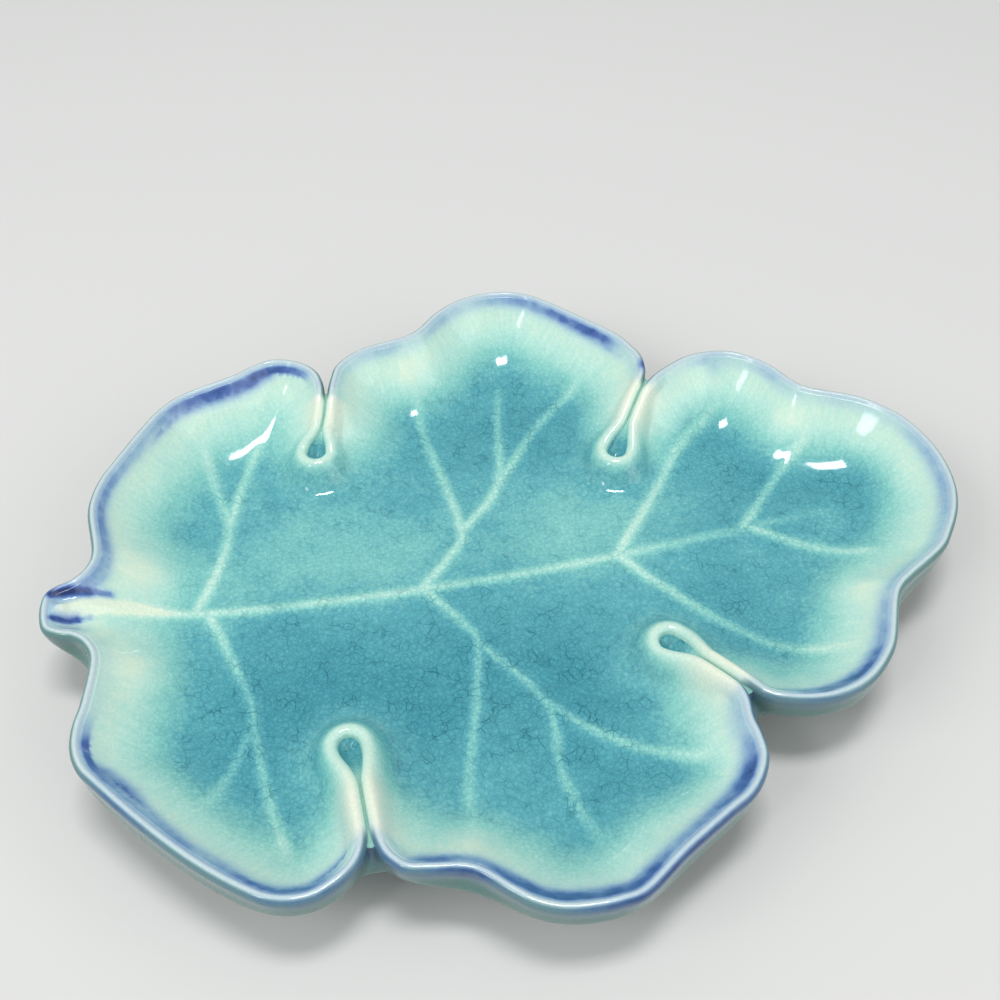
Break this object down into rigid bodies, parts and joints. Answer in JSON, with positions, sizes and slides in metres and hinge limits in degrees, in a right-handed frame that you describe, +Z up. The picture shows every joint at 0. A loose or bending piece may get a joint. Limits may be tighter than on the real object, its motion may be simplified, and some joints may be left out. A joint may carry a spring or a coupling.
{
  "type": "leaf dish",
  "caption": "Shallow lobed leaf dish with a rolled lip, folded gaps between the lobes, raised veins and a low oval foot.",
  "frame": {"origin": "middle of the dish in plan, on the table plane under the tread of the foot", "axes": "+X along the midrib from the stem to the leaf's tip, +Y across the leaf, +Z up out of the well"},
  "size_m": [0.16, 0.1318, 0.0182],
  "materials": {
    "leaf_body": "fired stoneware clay, hidden under the glaze",
    "foot_ring": "bare fired stoneware clay",
    "face_glaze": "glossy turquoise celadon glaze with fine crackle",
    "rim_glaze": "glossy pale glaze, thin over the lip, with cobalt beside it",
    "back_glaze": "glossy grey-green glaze",
    "base_glaze": "glossy grey-green glaze"
  },
  "bodies": {
    "root": {"leaf_body": "leaf_body", "foot_ring": "foot_ring", "face_glaze": "face_glaze", "rim_glaze": "rim_glaze", "back_glaze": "back_glaze", "base_glaze": "base_glaze"}
  },
  "joints": []
}
